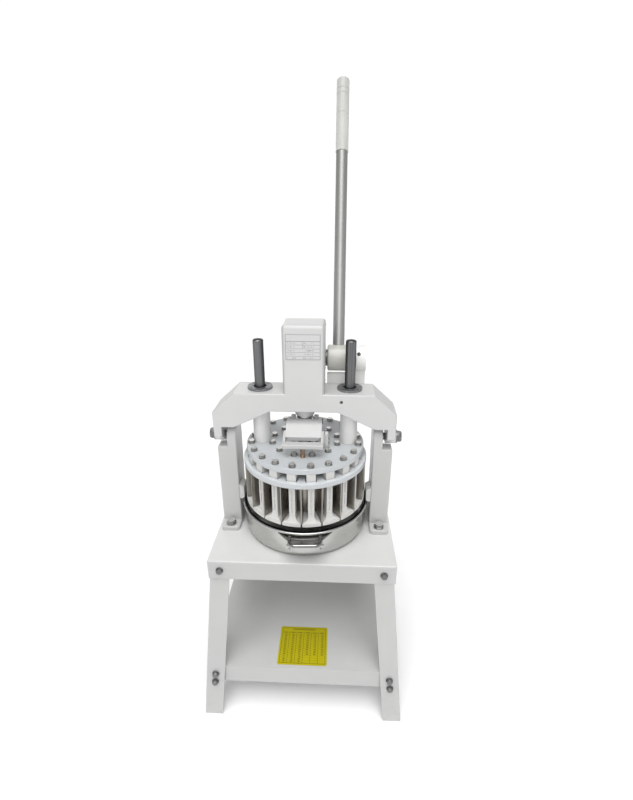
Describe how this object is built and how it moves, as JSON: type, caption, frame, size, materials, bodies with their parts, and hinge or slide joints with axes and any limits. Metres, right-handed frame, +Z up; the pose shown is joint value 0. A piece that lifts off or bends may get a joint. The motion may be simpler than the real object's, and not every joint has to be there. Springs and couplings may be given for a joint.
{
  "type": "manual dough divider",
  "caption": "Hand-lever dough divider on a splayed stand: a round pan under a tilting yoke head whose rack and pinion drives sector pushers and a cage of knives.",
  "frame": {"origin": "floor level, under the middle of the overall outline", "axes": "+X to the user's right, +Y to the rear (the user stands at -Y), +Z up"},
  "size_m": [0.466, 0.4596, 1.383],
  "materials": {
    "white_paint": "warm white enamel, slightly uneven",
    "disc_paint": "cool white enamel",
    "dark_steel": "blackened, lightly oiled",
    "plated_steel": "zinc plated",
    "pan_steel": "polished stainless",
    "knife_steel": "ground stainless",
    "machined_steel": "machined, bright",
    "seal_rubber": "matt black",
    "hub_paint": "beige grey, satin",
    "grip_plastic": "light grey, moulded",
    "bronze": "sintered bronze",
    "spring_brass": "drawn wire"
  },
  "bodies": {
    "stand": {"table_top": "white_paint", "leg_front_left": "white_paint", "leg_front_right": "white_paint", "leg_rear_left": "white_paint", "leg_rear_right": "white_paint", "tray_shelf": "white_paint", "frame_bolts": "dark_steel", "frame_nuts": "dark_steel", "upright_left": "white_paint", "upright_right": "white_paint", "upright_bolts": "plated_steel", "upright_nuts": "dark_steel", "pivot_bolts": "dark_steel", "pan_lug_left": "white_paint", "pan_lug_right": "white_paint"},
    "pan": {"pan_bowl": "pan_steel", "pan_seal_ring": "seal_rubber", "pan_handle": "pan_steel", "handle_strap": "pan_steel", "handle_rivets": "pan_steel"},
    "head": {"yoke_casting": "white_paint", "gear_case": "white_paint", "case_screws": "dark_steel", "guide_column_left": "white_paint", "guide_column_right": "white_paint", "guide_bush_left": "dark_steel", "guide_bush_right": "dark_steel", "bush_screws": "dark_steel", "column_screw": "dark_steel", "ram_bush": "bronze", "shaft_bushes": "bronze", "shaft_bracket": "white_paint", "bracket_bolts": "dark_steel"},
    "lever": {"pinion_shaft": "machined_steel", "pinion_gear": "machined_steel", "pinion_key": "dark_steel", "shaft_collar": "dark_steel", "lever_hub": "hub_paint", "hub_screw": "dark_steel", "lever_tube": "machined_steel", "lever_grip": "grip_plastic"},
    "ram": {"ram_rack": "machined_steel", "knife_disc": "disc_paint", "ram_nut": "dark_steel", "knife_ring_inner": "knife_steel", "knife_ring_outer": "knife_steel", "knives_inner": "knife_steel", "knives_middle": "knife_steel", "knives_outer": "knife_steel"},
    "press": {"press_disc": "disc_paint", "pushers_inner": "disc_paint", "pushers_middle": "disc_paint", "pushers_outer": "disc_paint", "pusher_bolts": "plated_steel", "guide_rod_left": "dark_steel", "guide_rod_right": "dark_steel", "paddle_cheeks": "white_paint", "paddle_pins": "dark_steel", "paddle_spring": "spring_brass"},
    "paddle": {"release_paddle": "white_paint"}
  },
  "joints": [
    {"name": "pan_slide", "type": "slide", "parent": "stand", "child": "pan", "axis": [0, -1, 0], "range_m": [0, 0.3]},
    {"name": "head_tilt", "type": "hinge", "parent": "stand", "child": "head", "pos_m": [0, -0.03681, 0.656], "axis": [1, 0, 0], "range_deg": [-90, 0]},
    {"name": "lever_swing", "type": "hinge", "parent": "head", "child": "lever", "pos_m": [0.071, 0.01419, 0.82], "axis": [1, 0, 0], "range_deg": [0, 104.5]},
    {"name": "ram_slide", "type": "slide", "parent": "head", "child": "ram", "axis": [0, 0, -1], "range_m": [0, 0.0731]},
    {"name": "press_slide", "type": "slide", "parent": "head", "child": "press", "axis": [0, 0, -1], "range_m": [0, 0.0281]},
    {"name": "release_paddle", "type": "hinge", "parent": "press", "child": "paddle", "pos_m": [0, -0.03681, 0.69], "axis": [1, 0, 0], "range_deg": [0, 5], "stiffness_Nm_per_rad": 4, "springref_deg": -8.59, "deforming": ["paddle_spring"]}
  ],
  "couplings": [
    {"joint": "ram_slide", "follows": "lever_swing", "m_per_rad": 0.04},
    {"joint": "press_slide", "follows": "lever_swing", "m_per_rad": 0.01535}
  ]
}
